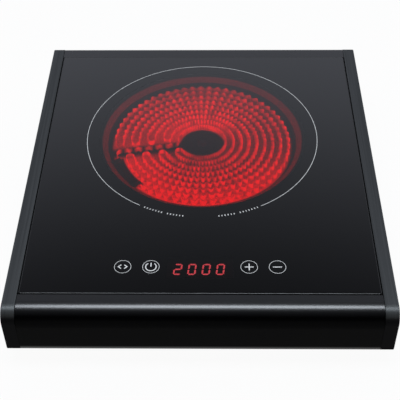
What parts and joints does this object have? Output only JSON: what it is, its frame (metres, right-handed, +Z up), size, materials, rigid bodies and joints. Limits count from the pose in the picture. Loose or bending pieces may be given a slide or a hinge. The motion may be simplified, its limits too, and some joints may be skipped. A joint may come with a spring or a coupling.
{
  "type": "portable radiant hob",
  "caption": "Slim table-top hob with a black glass plate, a glowing ribbon heater in a printed ring, touch keys, a lit display, brushed side rails and a cooling fan inside.",
  "frame": {"origin": "on the table, under the middle of the outer box", "axes": "+Z up, +Y to the back, +X to the right seen from the front with the keys"},
  "size_m": [0.2904, 0.3306, 0.0549],
  "materials": {
    "glass_black": "polished black glass-ceramic with printed marks",
    "rail_black": "brushed and black anodised",
    "gloss_black": "high gloss black",
    "tray_black": "fine moulded grain",
    "foot_rubber": "matt rubber",
    "seal_silicone": "satin silicone",
    "screw_steel": "zinc plated",
    "pan_steel": "aluminised sheet",
    "insulation": "pressed fibre, matt",
    "ribbon_hot": "glowing resistance ribbon",
    "white_ceramic": "matt steatite",
    "component_black": "moulded",
    "spring_steel": "bright spring steel",
    "board_green": "solder mask",
    "display_black": "matt face",
    "core_grey": "laminated core",
    "relay_blue": "moulded case",
    "sink_aluminium": "extruded",
    "capacitor_yellow": "moulded case",
    "contact_brass": "turned and plated",
    "fan_black": "moulded",
    "winding_copper": "enamelled copper",
    "lead_red": "silicone sleeving",
    "lead_blue": "silicone sleeving",
    "lead_white": "silicone sleeving"
  },
  "bodies": {
    "hob": {"baffle_screws": "screw_steel", "base_tray": "tray_black", "board_cable": "lead_white", "board_terminals": "contact_brass", "buzzer": "component_black", "control_board": "board_green", "control_carrier": "tray_black", "control_screws": "screw_steel", "cord_gland": "foot_rubber", "cutout_link": "lead_red", "display_module": "display_black", "fan_bearing": "contact_brass", "fan_frame": "fan_black", "fan_lead": "lead_red", "fan_screws": "screw_steel", "fan_stator": "winding_copper", "fascia_screws": "screw_steel", "filter_capacitor": "capacitor_yellow", "foot_screws": "screw_steel", "front_fascia": "gloss_black", "front_left_foot": "foot_rubber", "front_right_foot": "foot_rubber", "fuse": "contact_brass", "glass_seal": "seal_silicone", "glass_top": "glass_black", "heat_baffle": "pan_steel", "heat_sensor": "white_ceramic", "heat_sink": "sink_aluminium", "heater_lead_live": "lead_red", "heater_lead_neutral": "lead_blue", "heater_pan": "pan_steel", "heater_spring_front": "spring_steel", "heater_spring_left": "spring_steel", "heater_spring_right": "spring_steel", "heater_terminals": "spring_steel", "heating_element": "ribbon_hot", "insulation_base": "insulation", "insulation_ring": "insulation", "left_rail": "rail_black", "minus_key_spring": "spring_steel", "mode_key_spring": "spring_steel", "plus_key_spring": "spring_steel", "power_board": "board_green", "power_board_screws": "screw_steel", "power_key_spring": "spring_steel", "rail_screws": "screw_steel", "rear_left_foot": "foot_rubber", "rear_panel": "gloss_black", "rear_panel_screws": "screw_steel", "rear_right_foot": "foot_rubber", "relay": "relay_blue", "right_rail": "rail_black", "sensor_lead": "lead_white", "terminal_block": "white_ceramic", "thermal_cutout": "component_black", "transformer": "core_grey", "triac": "component_black"},
    "fan": {"fan_rotor": "fan_black", "fan_shaft": "spring_steel"}
  },
  "joints": [
    {"name": "fan_spin", "type": "hinge", "parent": "hob", "child": "fan", "pos_m": [0.075, -0.10945, 0.0195], "axis": [0, 0, 1], "continuous": true}
  ]
}
